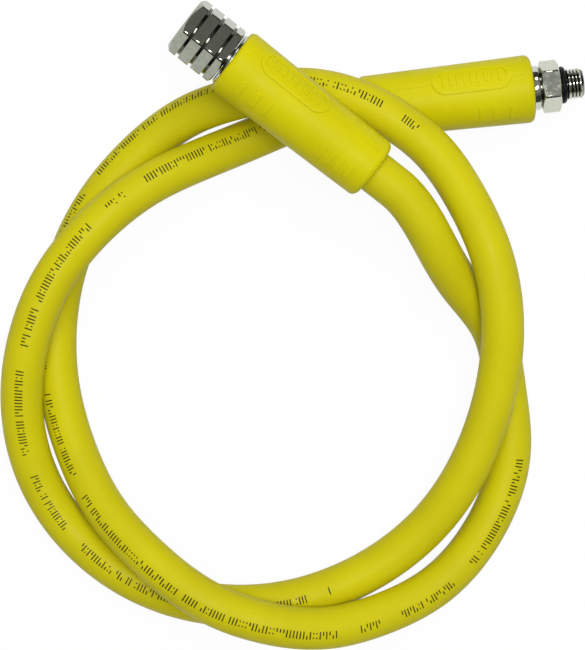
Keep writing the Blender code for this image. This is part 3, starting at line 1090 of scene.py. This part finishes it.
def metalMaterial(name, tones, roughness):
    # Plated brass: a slow mottle, fine pits and short scratches, with painted shade darkening the
    # grooves and hollows.
    made, tree, shader = newMaterial(name)
    place = objectPlace(tree)
    shader.inputs["Metallic"].default_value = 1.0
    mottle = ramp(tree, noise(tree, place, 650.0, 5.0, 0.6), 0.38, 0.66, 0.0, 1.0)
    plate = blendColours(tree, mottle, *tones)
    # Painted shade: faces marked in the attribute are blended towards the near-black tone.
    paintedShade = tree.nodes.new("ShaderNodeAttribute")
    paintedShade.attribute_name = "paintedShade"
    depth = maths(tree, "MULTIPLY", paintedShade.outputs["Fac"], metalLook["paintedShadeShare"])
    tone = blendColours(tree, depth, plate, metalLook["paintedShadeTone"])
    tree.links.new(tone, shader.inputs["Base Color"])
    rough = ramp(tree, noise(tree, place, 420.0, 4.0), 0.3, 0.7, *roughness)
    tree.links.new(rough, shader.inputs["Roughness"])
    stretched = tree.nodes.new("ShaderNodeMapping")
    stretched.inputs["Scale"].default_value = (0.12, 1.0, 1.0)
    tree.links.new(place, stretched.inputs["Vector"])
    scratches = maths(tree, "MULTIPLY", noise(tree, stretched.outputs[0], 5200.0, 2.0), 0.4)
    relief = maths(tree, "ADD", scratches, noise(tree, place, 1500.0, 3.0))
    tree.links.new(bump(tree, relief, 0.2, 0.008), shader.inputs["Normal"])
    return made


ringLook = {
    "black": ((0.006, 0.006, 0.007), (0.016, 0.015, 0.015)),
    "roughness": (0.32, 0.46),
    "gloss": 0.12,
}


def ringMaterial():
    made, tree, shader = newMaterial("ringRubber")
    place = objectPlace(tree)
    cloud = noise(tree, place, 900.0, 3.0)
    tone = blendColours(tree, ramp(tree, cloud, 0.4, 0.7, 0.0, 1.0), *ringLook["black"])
    tree.links.new(tone, shader.inputs["Base Color"])
    shader.inputs["Specular IOR Level"].default_value = ringLook["gloss"]
    tree.links.new(ramp(tree, cloud, 0.3, 0.7, *ringLook["roughness"]), shader.inputs["Roughness"])
    tree.links.new(bump(tree, noise(tree, place, 3500.0, 2.0), 0.25, 0.02), shader.inputs["Normal"])
    return made


def dress(piece, material):
    piece.data.materials.clear()
    piece.data.materials.append(material)
    for face in piece.data.polygons:
        face.material_index = 0


hoseRubber = hoseMaterial()
protectorRubber = protectorMaterial()
studChrome = metalMaterial("studChrome", metalLook["stud"], metalLook["roughness"])
nutChrome = metalMaterial("nutChrome", metalLook["nut"], metalLook["roughness"])
plating = metalMaterial("ferrulePlating", metalLook["plating"], metalLook["platingRoughness"])
ringRubber = ringMaterial()
dress(hosePiece, hoseRubber)
for sleeve in (studProtector, swivelProtector):
    dress(sleeve, protectorRubber)
dress(nutPiece, nutChrome)
for stem in (swivelStemPiece, studStemPiece):
    dress(stem, studChrome)
for crimped in (swivelFerrule, studFerrule):
    dress(crimped, plating)
for seal in (noseRing, studRing):
    dress(seal, ringRubber)
print("materials on")

# Floor, lamps and the room that the metal mirrors. Each lamp has its place and size in
# metres, its power in watts, and whether glossy surfaces mirror it. The softbox lights the
# rubber, and the others are there for the glints on the metal.
studio = {
    "floorSize": 8.0,
    "floorColour": 0.5,
    "floorShown": 0.92,
    "floorWhite": 0.95,
    "lamps": (
        ("softbox", (0.05, 0.22, 1.25), 0.8, 6.9, False),
        ("glintLamp", (0.15, -0.04, 1.25), 0.24, 2.5, True),
        ("edgeLamp", (-0.02, -0.175, 1.25), 0.27, 2.2, True),
        ("bandLamp", (0.06, 1.05, 1.12), 0.35, 2.4, True),
    ),
    "lampAim": (-0.03, -0.07, 0.0),
    "fill": 0.32,
    "mirrored": 2.0,
    "mirroredTones": (  # (how far up, tone)
        (0.0, 0.5),
        (0.05, 0.38),
        (0.10, 0.03),
        (0.60, 0.02),
        (0.74, 0.08),
        (0.87, 0.13),
        (1.0, 0.18),
    ),
}


def mixShaders(tree, share, first, second):
    made = tree.nodes.new("ShaderNodeMixShader")
    for socket, value in zip(made.inputs, (share, first, second)):
        tree.links.new(value, socket)
    return made.outputs[0]


def glow(tree, kind, strength, colour=None):
    # A white light, or one of the given colour.
    made = tree.nodes.new(kind)
    made.inputs["Color"].default_value = (1.0, 1.0, 1.0, 1.0)
    made.inputs["Strength"].default_value = strength
    if colour is not None:
        tree.links.new(colour, made.inputs["Color"])
    return made.outputs[0]


def addFloor():
    bpy.ops.object.select_all(action="DESELECT")
    bpy.ops.mesh.primitive_plane_add(size=studio["floorSize"], location=(0, 0, 0))
    floor = bpy.context.object
    floor.name = "floor"
    made = bpy.data.materials.new("paleFloor")
    made.use_nodes = True
    tree = made.node_tree
    tree.nodes.clear()
    output = tree.nodes.new("ShaderNodeOutputMaterial")
    paint = tree.nodes.new("ShaderNodeBsdfDiffuse")
    rays = tree.nodes.new("ShaderNodeLightPath")
    seen = maths(tree, "ADD", rays.outputs["Is Camera Ray"], rays.outputs["Is Glossy Ray"])
    seen = maths(tree, "ADD", seen, rays.outputs["Is Transmission Ray"], clamp=True)
    # The tone that lights the object from below is darker than the one that shows.
    extra = maths(tree, "MULTIPLY", seen, studio["floorShown"] - studio["floorColour"])
    tree.links.new(maths(tree, "ADD", extra, studio["floorColour"]), paint.inputs["Color"])
    share = maths(tree, "MULTIPLY", seen, studio["floorWhite"])
    white = glow(tree, "ShaderNodeEmission", 1.0)
    tree.links.new(mixShaders(tree, share, paint.outputs[0], white), output.inputs["Surface"])
    floor.data.materials.append(made)


def addRoom():
    # An even fill. Metal mirrors a white horizon, dark walls and a grey ceiling.
    world = bpy.data.worlds.new("studioRoom")
    bpy.context.scene.world = world
    world.use_nodes = True
    tree = world.node_tree
    tree.nodes.clear()
    output = tree.nodes.new("ShaderNodeOutputWorld")
    way = tree.nodes.new("ShaderNodeTexCoord").outputs["Generated"]
    parts = tree.nodes.new("ShaderNodeSeparateXYZ")
    tree.links.new(way, parts.inputs[0])
    tones = tree.nodes.new("ShaderNodeValToRGB")
    steps = studio["mirroredTones"]
    while len(tones.color_ramp.elements) < len(steps):
        tones.color_ramp.elements.new(0.5)
    for element, (place, tone) in zip(tones.color_ramp.elements, steps):
        element.position = place
        element.color = (tone, tone, tone, 1.0)
    tree.links.new(parts.outputs[2], tones.inputs[0])
    mirrored = glow(tree, "ShaderNodeBackground", studio["mirrored"], tones.outputs[0])
    fill = glow(tree, "ShaderNodeBackground", studio["fill"])
    white = glow(tree, "ShaderNodeBackground", 1.0)
    rays = tree.nodes.new("ShaderNodeLightPath")
    inside = mixShaders(tree, rays.outputs["Is Glossy Ray"], fill, mirrored)
    shown = mixShaders(tree, rays.outputs["Is Camera Ray"], inside, white)
    tree.links.new(shown, output.inputs["Surface"])


def addLamp(name, place, size, power, seen):
    bpy.ops.object.select_all(action="DESELECT")
    bpy.ops.object.light_add(type="AREA", location=place)
    lamp = bpy.context.object
    lamp.name = name
    lamp.data.size = size
    lamp.data.energy = power
    aim = Vector(studio["lampAim"]) - Vector(place)
    lamp.rotation_euler = aim.to_track_quat("-Z", "Y").to_euler()
    lamp.visible_glossy = seen


addFloor()
addRoom()
for lamp in studio["lamps"]:
    addLamp(*lamp)
bpy.context.scene.view_settings.view_transform = "Standard"
print("studio set")
